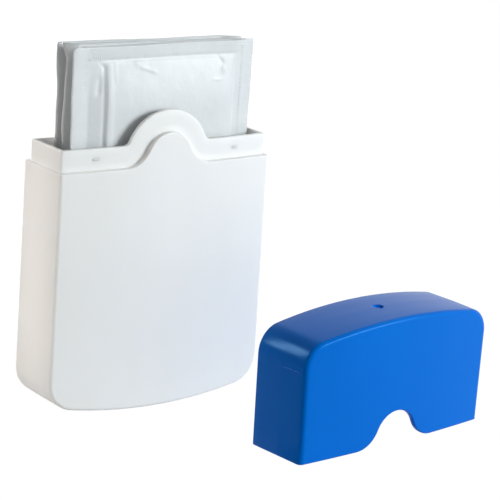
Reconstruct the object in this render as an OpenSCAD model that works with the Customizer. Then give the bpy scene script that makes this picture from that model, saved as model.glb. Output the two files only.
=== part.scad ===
// Countertop wipes dispenser: an open body, a pull-off cap that stands beside it,
// and three sealed sachets that each hold one folded wipe.
// Millimetres. The origin is the lowest line of the body's arched foot, at its
// middle. +X runs along the case's width, +Y to its back, +Z up.

/* [Case] */
// Width of the case where the cap meets the body
case_w = 80; // [70:0.5:110]
// Depth of the case's side walls
case_depth = 22; // [21:0.5:32]
// How far the front face bulges out past the side walls
front_bow = 1.5; // [0.5:0.1:3]
// Radius of the arched foot and of the cap's arched top
end_arc_r = 192; // [150:1:400]

/* [Body] */
// Width of the body at its foot
foot_w = 81.4; // [80:0.1:84]
// Height of the shoulder that the cap rests on
shoulder_z = 81.5; // [70:0.5:110]
// Radius between a side wall and the arched foot
foot_corner_r = 10; // [6:0.5:14]
// Thickness of the floor
floor_t = 2; // [1.2:0.1:3]

/* [Neck] */
// Height of the neck above the shoulder
neck_h = 7.1; // [5:0.1:9]
// Wall of the neck
neck_wall = 1.5; // [1:0.1:2]
// Width of the shoulder at the sides
side_ledge = 1.05; // [0.9:0.05:2]
// Width of the shoulder at the front and the back
face_ledge = 1.8; // [1.4:0.05:2.5]

/* [Front hump] */
// Height of the hump above the shoulder
hump_h = 10.9; // [9:0.1:14]
// Radius of the hump's crown
crown_r = 8.5; // [6:0.1:10]
// Radius of the hollows on either side of the hump
flank_r = 9.5; // [8:0.1:12]

/* [Snap nubs] */
// Distance of each snap nub from the middle
nub_x = 26.5; // [22:0.5:32]
// Length of a snap nub
nub_l = 3; // [2:0.1:6]
// Radius of a snap nub's rounded ridge
nub_r = 0.6; // [0.4:0.05:0.9]
// How far a snap nub stands proud of the neck
nub_proud = 0.3; // [0.15:0.05:0.4]

/* [Cap] */
// Height of the cap at its middle
cap_h = 42.6; // [38:0.2:60]
// How far the cap stands out over the body's shoulder at each side
cap_overhang = 0.5; // [0:0.05:1.2]
// Width of the cap just below its rounded corners
cap_top_w = 82.2; // [80:0.1:84]
// Radius between a side wall and the arched top
cap_corner_r = 8.8; // [6:0.1:14]
// Thickness of the cap's arched top
cap_top_t = 1.6; // [1.2:0.1:3]
// Gap between the neck and the cap that slides over it
cap_fit = 0.1; // [0.05:0.01:0.2]
// Gap between the hump and the cap's notch
notch_gap = 0.15; // [0.1:0.05:0.5]
// Radius of the moulding gate's dimple in the top
gate_r = 1.9; // [1:0.1:3]
// Depth of that dimple
gate_depth = 0.6; // [0.3:0.1:0.9]
// Radius of the sprue stub in the dimple
stub_r = 0.55; // [0.3:0.05:0.8]
// Height of that stub above the dimple's bottom
stub_h = 0.3; // [0.1:0.05:0.5]

/* [Where the cap stands] */
// Distance of the cap's middle to the right of the body's
cap_x = 49.2; // [0:0.1:160]
// Distance of the cap's middle in front of the body's
cap_front = 62.5; // [45:0.1:160]
// Turn of the cap on the table, in degrees
cap_yaw = 6; // [-20:1:20]

/* [Sachets] */
// Room between a sachet and the case at each side
side_room = 3.25; // [2:0.05:6]
// Room between a sachet and the top of the closed cap
head_room = 2.9; // [1.5:0.1:8]
// Room between the row of sachets and the case at the front and the back
face_room = 0.65; // [0.3:0.05:1.5]
// Gap between one sachet and the next where they bulge most
sachet_gap = 0.6; // [0.3:0.05:1]
// Thickness of one film, front or back
film_t = 0.25; // [0.2:0.05:0.3]
// Width of the sealed border at each side
side_seal = 6.5; // [4:0.5:8]
// Width of the sealed border at the top and the bottom
end_seal = 4.5; // [3:0.5:8]
// Air left between a sachet and what it rests on
rest_gap = 0.25; // [0.1:0.05:0.5]

/* [Wipes] */
// Room in a sachet at each side of its wipe
wipe_side_room = 5.7; // [3:0.1:10]
// Room in a sachet above and below its wipe
wipe_end_room = 4.2; // [3:0.1:10]
// Number of layers in a folded wipe
fold_layers = 6; // [2:1:8]
// Gap between one layer and the next
fold_gap = 0.14; // [0.1:0.01:0.15]
// Gap between a wipe and the film round it
pouch_gap = 0.1; // [0.05:0.01:0.15]

/* [Hidden] */

$fn = 96;
// Slack by which a cut runs past the face that it opens
past = 1;
// How far a piece of a union is sunk into its neighbour
sunk = 0.5;
// How far a fillet's circle passes the lines that it blends, so that it crosses
// each of them at a clear point
ease = 0.005;

// Both broad faces of the case follow this plan: flat at the back, and one
// shallow arc at the front whose chord is the case's width.
bow_r = (pow(case_w / 2, 2) + pow(front_bow, 2)) / (2 * front_bow);
back_y = case_depth / 2;
front_y = -case_depth / 2 - front_bow;
bow_centre_y = front_y + bow_r;

neck_w = case_w - 2 * side_ledge;
cavity_w = neck_w - 2 * neck_wall;
cavity_inset = face_ledge + neck_wall;
cavity_corner_r = foot_corner_r - floor_t;

cap_mouth_w = case_w + 2 * cap_overhang;
cap_face_wall = face_ledge - cap_fit;
cap_hollow_w = neck_w + 2 * cap_fit;
cap_hollow_corner_r = cap_corner_r - cap_top_t;

// Three sachets share the depth of the cavity, and the layers of a wipe share
// what the films leave of a sachet
sachet_pitch = (case_depth - 2 * cavity_inset - 2 * face_room) / 3;
belly_depth = (sachet_pitch - sachet_gap) / 2 - film_t;
cloth_t = (2 * (belly_depth - pouch_gap) - (fold_layers - 1) * fold_gap) / fold_layers;
fold_pitch = cloth_t + fold_gap;

// Height of the cavity's floor and of its rounded corner at a distance x from
// the middle. A sachet's lower corners come to rest there.
cavity_corner_x = cavity_w / 2 - cavity_corner_r;
cavity_corner_z = end_arc_r
    - sqrt(pow(end_arc_r - floor_t - cavity_corner_r, 2) - pow(cavity_corner_x, 2));
function floor_z(x) = x < cavity_corner_x
    ? end_arc_r - sqrt(pow(end_arc_r - floor_t, 2) - x * x)
    : cavity_corner_z - sqrt(pow(cavity_corner_r, 2) - pow(x - cavity_corner_x, 2));
sachet_w = cavity_w - 2 * side_room;
sachet_z = floor_z(sachet_w / 2) + rest_gap;
sachet_h = shoulder_z + cap_h - cap_top_t - head_room - sachet_z;
pouch_w = sachet_w - 2 * side_seal;
pouch_h = sachet_h - 2 * end_seal;
wipe_w = pouch_w - 2 * wipe_side_room;
wipe_h = pouch_h - 2 * wipe_end_room;
belly_w = wipe_w + 2 * pouch_gap;
belly_h = wipe_h + 2 * pouch_gap;

// The y of the front arc at x, on a face set in by inset
function front_arc_y(x, inset) = bow_centre_y - sqrt(pow(bow_r - inset, 2) - x * x);

// ---------- shared outlines ----------

// Plan of the case: width w, with its front and back set in by inset
module case_plan(w, inset) {
    intersection() {
        translate([-w / 2, front_y - past])
            square([w, back_y - front_y - inset + past]);
        translate([0, bow_centre_y])
            circle(r = bow_r - inset, $fn = 360);
    }
}

// A fillet for the corner at p, where the outline faces along the unit vectors
// m and a: it covers what lies outside a circle of radius r centred on p
module corner_waste(p, m, a, r) {
    difference() {
        polygon([p, p + 2 * r * m, p + 2 * r * (m + a), p + 2 * r * a]);
        translate(p)
            circle(r = r);
    }
}

// Front view of one end of the case: straight rim of width rim_w on the x axis,
// sides that spread to end_w, an arch of radius arc_r whose top is at height h,
// and corners of radius r
module arched_outline(rim_w, end_w, h, arc_r, r) {
    past_w = end_w + (end_w - rim_w) * past / h;
    lean = atan((end_w - rim_w) / 2 / h);
    along = [sin(lean), cos(lean)];
    outward = [cos(lean), -sin(lean)];
    arc_centre = [0, h - arc_r];
    start = [rim_w / 2, 0] - (r - ease) * outward;
    from_centre = start - arc_centre;
    climb = -from_centre * along
        + sqrt(pow(from_centre * along, 2) - from_centre * from_centre
               + pow(arc_r - r + ease, 2));
    corner = start + climb * along;
    upward = (corner - arc_centre) / norm(corner - arc_centre);
    difference() {
        intersection() {
            polygon([
                [-rim_w / 2, 0], [rim_w / 2, 0],
                [past_w / 2, h + past], [-past_w / 2, h + past]
            ]);
            translate(arc_centre)
                circle(r = arc_r, $fn = 720);
        }
        corner_waste(corner, outward, upward, r);
        mirror([1, 0])
            corner_waste(corner, outward, upward, r);
    }
}

// Bell shape standing on the x axis: a crown of radius top_r, at height h,
// that runs into hollow flanks of radius side_r. It reaches down to -below.
module bell(top_r, side_r, h, below) {
    crown_z = h - top_r;
    flank_z = side_r - ease;
    half_w = sqrt(pow(top_r + side_r - ease, 2) - pow(crown_z - flank_z, 2));
    meet_z = crown_z + (flank_z - crown_z) * top_r / (top_r + side_r);
    translate([0, crown_z])
        circle(r = top_r);
    difference() {
        translate([-half_w, -below])
            square([2 * half_w, below + meet_z]);
        for (side = [-1, 1])
            translate([side * half_w, flank_z])
                circle(r = side_r);
    }
}

// Stands a front view up in the XZ plane and gives it the whole depth
module through_depth() {
    translate([0, back_y + past, 0])
        rotate([90, 0, 0])
            linear_extrude(height = back_y - front_y + 2 * past)
                children();
}

// Extrudes a plan upwards from z0 to z1
module upright(z0, z1) {
    translate([0, 0, z0])
        linear_extrude(height = z1 - z0)
            children();
}

// ---------- body ----------

// Keeps what stands above height z0 only in front of the plane y = y0
module cut_behind(y0, z0) {
    difference() {
        children();
        translate([-case_w / 2, y0, z0])
            cube([case_w, case_depth, 2 * neck_h + hump_h]);
    }
}

// The outer shell's block: the case below the shoulder, and the hump above it
module case_block() {
    cut_behind(front_y + face_ledge + neck_wall / 2, shoulder_z)
        intersection() {
            through_depth() {
                translate([0, shoulder_z])
                    mirror([0, 1])
                        arched_outline(case_w, foot_w, shoulder_z, end_arc_r, foot_corner_r);
                translate([0, shoulder_z])
                    bell(crown_r, flank_r, hump_h, sunk);
            }
            upright(-past, shoulder_z + hump_h + past)
                case_plan(foot_w + past, 0);
        }
}

// The neck's block, whose front rises behind the hump
module neck_block() {
    cut_behind(0, shoulder_z + neck_h)
        intersection() {
            through_depth()
                translate([0, shoulder_z]) {
                    translate([-case_w / 2, -sunk])
                        square([case_w, sunk + neck_h]);
                    translate([0, neck_h])
                        bell(crown_r + neck_h, flank_r - neck_h, hump_h, sunk);
                }
            upright(shoulder_z - past, shoulder_z + neck_h + hump_h + past)
                case_plan(neck_w, face_ledge);
        }
}

// A short rounded ridge on the front of the neck, half sunk into it
module snap_nub(side, grow) {
    reach = nub_r - nub_proud;
    translate([side * nub_x, front_arc_y(nub_x, face_ledge) + reach, shoulder_z + neck_h / 2])
        rotate([0, 90, 0])
            cylinder(r = nub_r + grow, h = nub_l + 2 * grow, center = true, $fn = 32);
}

// The space that holds the sachets, drawn upwards out of the neck
module cavity() {
    mouth_z = shoulder_z + 2 * neck_h + hump_h;
    intersection() {
        through_depth()
            translate([0, mouth_z])
                mirror([0, 1])
                    arched_outline(cavity_w, cavity_w, mouth_z - floor_t,
                                   end_arc_r - floor_t, cavity_corner_r);
        upright(-past, mouth_z + past)
            case_plan(cavity_w + past, cavity_inset);
    }
}

module body() {
    color("whitesmoke")
        difference() {
            union() {
                case_block();
                neck_block();
                for (side = [-1, 1])
                    snap_nub(side, 0);
            }
            cavity();
        }
}

// ---------- cap ----------

module cap_shell() {
    intersection() {
        through_depth()
            arched_outline(cap_mouth_w, cap_top_w, cap_h, end_arc_r, cap_corner_r);
        upright(-past, cap_h + past)
            case_plan(cap_top_w + past, 0);
    }
}

module cap_hollow() {
    intersection() {
        through_depth()
            translate([0, -past])
                arched_outline(cap_hollow_w, cap_hollow_w, cap_h - cap_top_t + past,
                               end_arc_r - cap_top_t, cap_hollow_corner_r);
        upright(-2 * past, cap_h + past)
            case_plan(cap_hollow_w + past, cap_face_wall);
    }
}

// The notch goes through the front wall only, and fits over the body's hump
module cap_notch() {
    intersection() {
        through_depth()
            bell(crown_r + notch_gap, flank_r, hump_h + notch_gap, past);
        translate([-case_w / 2, front_y - past, -past])
            cube([case_w, case_depth / 2, cap_h]);
    }
}

module gate_dimple() {
    translate([0, 0, cap_h - gate_depth])
        difference() {
            cylinder(r = gate_r, h = gate_depth + past);
            translate([0, 0, -sunk])
                cylinder(r = stub_r, h = sunk + stub_h);
        }
}

module cap() {
    color("mediumblue")
        translate([cap_x, -cap_front, 0])
            rotate([0, 0, cap_yaw])
                difference() {
                    cap_shell();
                    cap_hollow();
                    cap_notch();
                    gate_dimple();
                    for (side = [-1, 1])
                        translate([0, 0, -shoulder_z])
                            snap_nub(side, cap_fit);
                }
}

// ---------- sachets ----------

// A low block with sloping sides on the plane y = 0, bulging towards -y:
// w by h at its foot, top_w by top_h at its top, and depth deep
module pillow(w, h, top_w, top_h, depth) {
    intersection() {
        translate([0, 0, -h / 2])
            linear_extrude(height = h)
                polygon([[-w / 2, 0], [-top_w / 2, -depth], [top_w / 2, -depth], [w / 2, 0]]);
        translate([-w / 2, 0, 0])
            rotate([90, 0, 90])
                linear_extrude(height = w)
                    polygon([[0, -h / 2], [0, h / 2], [-depth, top_h / 2], [-depth, -top_h / 2]]);
    }
}

// One film of a sachet: flat sealed borders round a belly, on the -y side of y = 0
module film() {
    difference() {
        union() {
            translate([-sachet_w / 2, -film_t, -sachet_h / 2])
                cube([sachet_w, film_t, sachet_h]);
            pillow(pouch_w + 2 * film_t, pouch_h + 2 * film_t,
                   belly_w + film_t, belly_h + film_t, belly_depth + film_t);
        }
        pillow(pouch_w, pouch_h, belly_w, belly_h, belly_depth);
    }
}

// A wipe folded to and fro: flat panels, joined at alternate edges by half rings
module folded_wipe() {
    panel_w = wipe_w - cloth_t - fold_pitch;
    first_y = -(fold_layers - 1) / 2 * fold_pitch;
    turn_out = cloth_t + fold_gap / 2;
    translate([0, 0, -wipe_h / 2])
        linear_extrude(height = wipe_h) {
            for (layer = [0:fold_layers - 1])
                translate([-panel_w / 2, first_y + layer * fold_pitch - cloth_t / 2])
                    square([panel_w, cloth_t]);
            for (layer = [0:fold_layers - 2])
                mirror([layer % 2, 0])
                    translate([panel_w / 2, first_y + (layer + 0.5) * fold_pitch])
                        intersection() {
                            difference() {
                                circle(r = turn_out, $fn = 32);
                                circle(r = fold_gap / 2, $fn = 32);
                            }
                            translate([0, -turn_out])
                                square([turn_out, 2 * turn_out]);
                        }
        }
}

// The three sachets stand one behind another: row -1 in front, 0, and 1 at the back
module in_row(row) {
    translate([0, row * sachet_pitch, sachet_z + sachet_h / 2])
        children();
}

module front_film(row) {
    color("gainsboro")
        in_row(row)
            film();
}

module back_film(row) {
    color("silver")
        in_row(row)
            mirror([0, 1, 0])
                film();
}

module wipe(row) {
    color("white")
        in_row(row)
            folded_wipe();
}

body();
cap();
front_film(-1);  // front_sachet_front_film
back_film(-1);  // front_sachet_back_film
wipe(-1);  // front_sachet_wipe
front_film(0);  // middle_sachet_front_film
back_film(0);  // middle_sachet_back_film
wipe(0);  // middle_sachet_wipe
front_film(1);  // rear_sachet_front_film
back_film(1);  // rear_sachet_back_film
wipe(1);  // rear_sachet_wipe
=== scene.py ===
"""Countertop wipes dispenser: an open white body, a blue pull-off cap that stands
beside it, and three sealed sachets that each hold one folded wipe.

Every size in the classes is in millimetres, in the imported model's own frame: +X
along the case's width, +Y to its back, +Z up. Meshes are made in metres.
"""

from __future__ import annotations

import logging
import math
from dataclasses import dataclass, field
from enum import Enum
from typing import Callable, Sequence

import bmesh
import bpy
import numpy as np
from mathutils import Matrix, Vector
from mathutils.geometry import delaunay_2d_cdt


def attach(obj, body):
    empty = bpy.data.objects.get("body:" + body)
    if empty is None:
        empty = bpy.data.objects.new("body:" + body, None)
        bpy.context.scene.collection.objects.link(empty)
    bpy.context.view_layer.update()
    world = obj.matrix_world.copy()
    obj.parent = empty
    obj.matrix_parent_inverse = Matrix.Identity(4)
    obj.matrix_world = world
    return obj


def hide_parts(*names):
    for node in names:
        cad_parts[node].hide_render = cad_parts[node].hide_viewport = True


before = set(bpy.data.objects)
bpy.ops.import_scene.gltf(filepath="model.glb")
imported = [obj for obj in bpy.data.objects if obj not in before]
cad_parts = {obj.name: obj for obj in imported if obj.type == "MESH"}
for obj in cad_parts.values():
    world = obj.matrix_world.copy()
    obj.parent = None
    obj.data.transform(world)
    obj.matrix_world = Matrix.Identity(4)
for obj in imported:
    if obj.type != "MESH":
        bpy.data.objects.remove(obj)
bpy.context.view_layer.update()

MM = 0.001
log = logging.getLogger("dispenser")

Lift = Callable[[np.ndarray, np.ndarray], np.ndarray]
Colour = tuple[float, float, float]


def smooth(value: np.ndarray) -> np.ndarray:
    """Eases from 0 to 1 as value goes from 0 to 1."""
    t = np.clip(value, 0.0, 1.0)
    return t * t * (3.0 - 2.0 * t)


def stack(*columns: np.ndarray | float) -> np.ndarray:
    """Joins coordinates, some of which may be one number, into points."""
    return np.stack(np.broadcast_arrays(*[np.asarray(c, float) for c in columns]), -1)


def round_turn(parts: int) -> np.ndarray:
    """Angles of so many even steps round a full turn."""
    return np.linspace(0, 2 * math.pi, parts + 1)[:-1]


def stand(name: str, data: bpy.types.ID) -> bpy.types.Object:
    """Makes an object and puts it in the scene.

    Args:
        name: Its name.
        data: Its mesh, camera or light.

    Returns:
        The object, at the origin.
    """
    made = bpy.data.objects.new(name, data)
    bpy.context.scene.collection.objects.link(made)
    return made


# ---------- meshes ----------


class Shell:
    """Points and faces of one closed mesh, in millimetres, before it is made."""

    def __init__(self) -> None:
        """Starts with nothing."""
        self.points: list[np.ndarray] = []
        self.faces: list[tuple[int, ...]] = []
        self.count = 0

    def add(self, points: np.ndarray) -> np.ndarray:
        """Adds points.

        Args:
            points: An array whose last axis is x, y, z.

        Returns:
            The points' numbers, in the array's own shape.
        """
        ids = np.arange(self.count, self.count + points.size // 3)
        self.points.append(points.reshape(-1, 3))
        self.count += ids.size
        return ids.reshape(points.shape[:-1])

    def grid(self, points: np.ndarray, left_out: np.ndarray | None = None) -> None:
        """Covers a grid of points with quads.

        Args:
            points: Rows by columns by x, y, z.
            left_out: True for each cell of the grid that stays open.
        """
        ids = self.add(points)
        quads = np.stack([ids[:-1, :-1], ids[1:, :-1], ids[1:, 1:], ids[:-1, 1:]], -1)
        if left_out is not None:
            quads = quads[~left_out]
        self.faces += [tuple(q) for q in quads.reshape(-1, 4).tolist()]

    def rings(self, rings: Sequence[np.ndarray]) -> None:
        """Joins closed rings of equally many points, one after the other."""
        self.grid(np.stack([np.concatenate([r, r[:1]]) for r in rings]))

    def cap_ring(self, ring: np.ndarray) -> None:
        """Closes a ring with one flat face."""
        self.faces.append(tuple(self.add(ring).tolist()))

    def rod(self, rings: Sequence[np.ndarray]) -> None:
        """Joins rings and closes both ends.

        Args:
            rings: Closed rings of equally many points.
        """
        self.rings(rings)
        self.cap_ring(rings[0])
        self.cap_ring(rings[-1])

    def slab(self, layers: Sequence[np.ndarray]) -> None:
        """Joins two matching grids of points all round their borders.

        Args:
            layers: The two grids, each rows by columns by x, y, z.
        """
        for layer in layers:
            self.grid(layer)
        self.rings([np.concatenate([layer[0], layer[1:, -1], layer[-1, -2::-1],
                                    layer[-2:0:-1, 0]]) for layer in layers])

    def patch(self, border: np.ndarray, flat: tuple[int, int], lift: Lift,
              pitch: float, hem: float = 0.35, hole_r: float = 0.0,
              hole: np.ndarray | None = None) -> None:
        """Fills a closed border with a fine, even net of triangles.

        Args:
            border: The border's points, in order.
            flat: The two axes that the net is laid out in.
            lift: Puts the net's inner points on the surface.
            pitch: Distance between inner points.
            hem: Distance of a row of points just inside the border.
            hole_r: Radius of a round hole about the middle, if there is one.
            hole: The points round that hole.
        """
        rim = border[:, flat]
        ahead, behind = np.roll(rim, -1, 0) - rim, rim - np.roll(rim, 1, 0)
        way = ahead / np.linalg.norm(ahead, axis=1, keepdims=True) \
            + behind / np.linalg.norm(behind, axis=1, keepdims=True)
        turn = np.sign(np.sum(rim[:, 0] * np.roll(rim[:, 1], -1)
                              - rim[:, 1] * np.roll(rim[:, 0], -1)))
        inward = turn * np.stack([-way[:, 1], way[:, 0]], -1)
        inward /= np.linalg.norm(inward, axis=1, keepdims=True)
        lo, hi = rim.min(0), rim.max(0)
        steps = [np.linspace(a, b, max(2, round((b - a) / pitch)) + 1)[1:-1]
                 for a, b in zip(lo, hi)]
        net = np.stack(np.meshgrid(*steps), -1).reshape(-1, 2)
        net = net[inside(net, rim) & (gap_to(net, rim) > pitch / 3)]
        row = rim + hem * inward
        inner = np.concatenate([row[gap_to(row, rim) > 0.7 * hem], net])
        if hole is not None:
            inner = inner[np.hypot(inner[:, 0], inner[:, 1]) > hole_r + pitch / 4]
        solid = [border, lift(inner[:, 0], inner[:, 1])]
        loops = [np.arange(len(border))]
        if hole is not None:
            loops.append(np.arange(len(hole)) + len(border) + len(inner))
            solid.append(hole)
        points = np.concatenate(solid)
        edges = [(int(a), int(b)) for ring in loops for a, b in zip(ring, np.roll(ring, -1))]
        _, _, faces, origin, *_ = delaunay_2d_cdt(
            [Vector(p) for p in points[:, flat].tolist()], edges, [], 1, 1e-6)
        ids = self.add(points)
        for face in faces:
            corners = [origin[i][0] for i in face]
            middle = points[corners][:, flat].mean(0)
            if hole is None or np.hypot(*middle) > hole_r:
                self.faces.append(tuple(int(ids[i]) for i in corners))

    def build(self, name: str, place: Matrix | None = None) -> bpy.types.Object:
        """Makes the mesh, with doubled points merged and faces turned outwards.

        Args:
            name: The piece's name.
            place: Where the mesh goes, in millimetres.

        Returns:
            The object, at the origin.
        """
        mesh = bpy.data.meshes.new(name)
        points = np.concatenate(self.points)
        mesh.from_pydata(points.tolist(), [], self.faces)
        work = bmesh.new()
        work.from_mesh(mesh)
        bmesh.ops.remove_doubles(work, verts=work.verts, dist=2e-4)
        bmesh.ops.recalc_face_normals(work, faces=work.faces)
        if place is not None:
            bmesh.ops.transform(work, matrix=place, verts=work.verts)
        bmesh.ops.scale(work, vec=(MM, MM, MM), verts=work.verts)
        work.to_mesh(mesh)
        work.free()
        mesh.shade_smooth()
        return stand(name, mesh)


def gap_to(points: np.ndarray, rim: np.ndarray) -> np.ndarray:
    """Measures how far points lie from a closed rim.

    Args:
        points: The points, in a plane.
        rim: The rim's corners, in order.

    Returns:
        Each point's distance to the nearest corner or side.
    """
    a, b = rim, np.roll(rim, -1, 0)
    along = b - a
    t = np.einsum("ijk,jk->ij", points[:, None] - a, along) / np.sum(along**2, 1)
    near = a + np.clip(t, 0, 1)[..., None] * along
    return np.linalg.norm(points[:, None] - near, axis=-1).min(1)


def inside(points: np.ndarray, rim: np.ndarray) -> np.ndarray:
    """Tells which points lie inside a closed rim.

    Args:
        points: The points, in a plane.
        rim: The rim's corners, in order.

    Returns:
        True for each point inside.
    """
    a, b = rim, np.roll(rim, -1, 0)
    u, v = points[:, 0, None], points[:, 1, None]
    crosses = (a[:, 1] > v) != (b[:, 1] > v)
    with np.errstate(divide="ignore", invalid="ignore"):
        at = a[:, 0] + (v - a[:, 1]) * (b[:, 0] - a[:, 0]) / (b[:, 1] - a[:, 1])
    return (crosses & (u < at)).sum(1) % 2 == 1


# ---------- finishes ----------

# Most values of a noise pattern lie in this range
NOISE_RANGE = (0.3, 0.7)


class Surface:
    """A material built round one Principled shader."""

    def __init__(self, name: str) -> None:
        """Starts a material with only its shader and its output.

        Args:
            name: The material's name.
        """
        self.material = bpy.data.materials.new(name)
        self.material.use_nodes = True
        self.nodes = self.material.node_tree.nodes
        self.links = self.material.node_tree.links
        self.nodes.clear()
        self.output = self.nodes.new("ShaderNodeOutputMaterial")
        self.shader = self.nodes.new("ShaderNodeBsdfPrincipled")
        self.join(self.shader.outputs[0], self.output.inputs["Surface"])
        self.coordinates = self.nodes.new("ShaderNodeTexCoord").outputs["Object"]

    def join(self, source: bpy.types.NodeSocket, target: bpy.types.NodeSocket) -> None:
        """Links one socket to another."""
        self.links.new(source, target)

    def noise(self, scale: float, detail: float,
              stretch: tuple[float, float, float] = (1.0, 1.0, 1.0),
              roughness: float = 0.5) -> bpy.types.NodeSocket:
        """Adds a noise pattern.

        Args:
            scale: Features per metre.
            detail: Octaves.
            stretch: Scale along x, y and z.
            roughness: Weight of the finer octaves.

        Returns:
            The pattern's value, from 0 to 1.
        """
        mapping = self.nodes.new("ShaderNodeMapping")
        mapping.inputs["Scale"].default_value = stretch
        self.join(self.coordinates, mapping.inputs["Vector"])
        noise = self.nodes.new("ShaderNodeTexNoise")
        noise.inputs["Scale"].default_value = scale
        noise.inputs["Detail"].default_value = detail
        noise.inputs["Roughness"].default_value = roughness
        self.join(mapping.outputs[0], noise.inputs["Vector"])
        return noise.outputs["Fac"]

    def between(self, pattern: bpy.types.NodeSocket, low: float,
                high: float) -> bpy.types.NodeSocket:
        """Maps a noise pattern onto another range.

        Args:
            pattern: The pattern's value.
            low: What its low values become.
            high: What its high values become.

        Returns:
            The value in the new range.
        """
        ramp = self.nodes.new("ShaderNodeMapRange")
        for name, value in zip(("From Min", "From Max", "To Min", "To Max"),
                               (*NOISE_RANGE, low, high)):
            ramp.inputs[name].default_value = value
        self.join(pattern, ramp.inputs["Value"])
        return ramp.outputs[0]

    def tint(self, pattern: bpy.types.NodeSocket, first: Colour, second: Colour) -> None:
        """Colours the shader by a noise pattern.

        Args:
            pattern: The pattern's value.
            first: Colour where the pattern is low.
            second: Colour where it is high.
        """
        mix = self.nodes.new("ShaderNodeMix")
        mix.data_type = "RGBA"
        mix.inputs[6].default_value = (*first, 1.0)
        mix.inputs[7].default_value = (*second, 1.0)
        self.join(self.between(pattern, 0.0, 1.0), mix.inputs[0])
        self.join(mix.outputs[2], self.shader.inputs["Base Color"])

    def relief(self, patterns: Sequence[tuple[bpy.types.NodeSocket, float]]) -> None:
        """Raises the surface by patterns.

        Args:
            patterns: Each pattern's value and its height in millimetres.
        """
        normal = None
        for pattern, height in patterns:
            bump = self.nodes.new("ShaderNodeBump")
            bump.inputs["Distance"].default_value = height * MM
            self.join(pattern, bump.inputs["Height"])
            if normal is not None:
                self.join(normal, bump.inputs["Normal"])
            normal = bump.outputs[0]
        self.join(normal, self.shader.inputs["Normal"])

    def steady(self, **values: float | Colour) -> None:
        """Sets shader sockets that have one value all over the surface."""
        for name, value in values.items():
            self.shader.inputs[name.replace("_", " ")].default_value = value


@dataclass(frozen=True)
class MouldedPlastic:
    """Injection-moulded plastic: an even colour, faint flow clouds and a fine grain."""

    name: str
    colour: Colour
    cloud: Colour
    roughness: tuple[float, float]
    specular: float
    sheen_tint: Colour = (1.0, 1.0, 1.0)
    grain_mm: float = 0.006
    sink_mm: float = 0.05
    scatter: float = 0.0

    def make(self) -> bpy.types.Material:
        """Builds the material.

        Returns:
            The material.
        """
        surface = Surface(self.name)
        flow = surface.noise(38.0, 2.0, (1.0, 1.0, 0.45))
        grain = surface.noise(2600.0, 3.0)
        surface.tint(flow, self.colour, self.cloud)
        surface.join(surface.between(grain, *self.roughness), surface.shader.inputs["Roughness"])
        surface.relief([(surface.noise(26.0, 1.0), self.sink_mm), (grain, self.grain_mm)])
        surface.steady(IOR=1.49, Specular_IOR_Level=self.specular,
                       Specular_Tint=(*self.sheen_tint, 1.0))
        if self.scatter:
            surface.steady(Subsurface_Weight=self.scatter, Subsurface_Radius=(1.0, 0.9, 0.8),
                           Subsurface_Scale=0.002)
        return surface.material


@dataclass(frozen=True)
class FoilFilm:
    """White foil laminate: a satin skin with soft crinkles and a fine press grain."""

    name: str
    colour: Colour
    shade: Colour
    roughness: tuple[float, float]
    metal: float
    crinkle_mm: float

    def make(self) -> bpy.types.Material:
        """Builds the material.

        Returns:
            The material.
        """
        surface = Surface(self.name)
        crinkle = surface.noise(210.0, 4.0, (1.0, 1.0, 0.75), 0.55)
        grain = surface.noise(1500.0, 2.0)
        surface.tint(surface.noise(85.0, 3.0), self.colour, self.shade)
        surface.join(surface.between(crinkle, *self.roughness),
                     surface.shader.inputs["Roughness"])
        surface.relief([(crinkle, self.crinkle_mm), (grain, 0.008)])
        surface.steady(Metallic=self.metal, IOR=1.5, Specular_IOR_Level=0.3)
        return surface.material


@dataclass(frozen=True)
class NonwovenCloth:
    """Damp spunlace wipe: tangled fibres on a pale ground."""

    name: str
    colour: Colour
    shade: Colour

    def make(self) -> bpy.types.Material:
        """Builds the material.

        Returns:
            The material.
        """
        surface = Surface(self.name)
        fibres = surface.noise(900.0, 5.0, (1.0, 1.0, 0.25), 0.65)
        across = surface.noise(700.0, 4.0, (0.3, 1.0, 1.0), 0.6)
        surface.tint(fibres, self.colour, self.shade)
        surface.relief([(fibres, 0.12), (across, 0.09)])
        surface.steady(Roughness=0.85, Specular_IOR_Level=0.25, Sheen_Weight=0.25,
                       Sheen_Roughness=0.5)
        return surface.material


@dataclass(frozen=True)
class StudioFloor:
    """Pale floor that shows white to the camera and still keeps a soft shadow.

    Attributes:
        name: The material's name.
        colour: The colour that lights the object from below.
        glow: Strength of the white that the camera sees.
        shown: Share of that white. The rest is the lit floor, with its shadow.
    """

    name: str
    colour: Colour
    glow: float
    shown: float

    def make(self) -> bpy.types.Material:
        """Builds the material.

        Returns:
            The material.
        """
        surface = Surface(self.name)
        surface.tint(surface.noise(12.0, 3.0), self.colour,
                     tuple(0.985 * c for c in self.colour))
        surface.relief([(surface.noise(160.0, 3.0), 0.05)])
        surface.steady(Roughness=0.9, Specular_IOR_Level=0.0)
        glow = surface.nodes.new("ShaderNodeEmission")
        glow.inputs["Color"].default_value = (1.0, 1.0, 1.0, 1.0)
        glow.inputs["Strength"].default_value = self.glow
        mix = surface.nodes.new("ShaderNodeMixShader")
        share = surface.nodes.new("ShaderNodeMath")
        share.operation = "MULTIPLY"
        share.inputs[1].default_value = self.shown
        surface.join(seen_ray(surface.nodes, surface.links), share.inputs[0])
        surface.join(share.outputs[0], mix.inputs[0])
        surface.join(surface.shader.outputs[0], mix.inputs[1])
        surface.join(glow.outputs[0], mix.inputs[2])
        surface.join(mix.outputs[0], surface.output.inputs["Surface"])
        return surface.material


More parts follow.
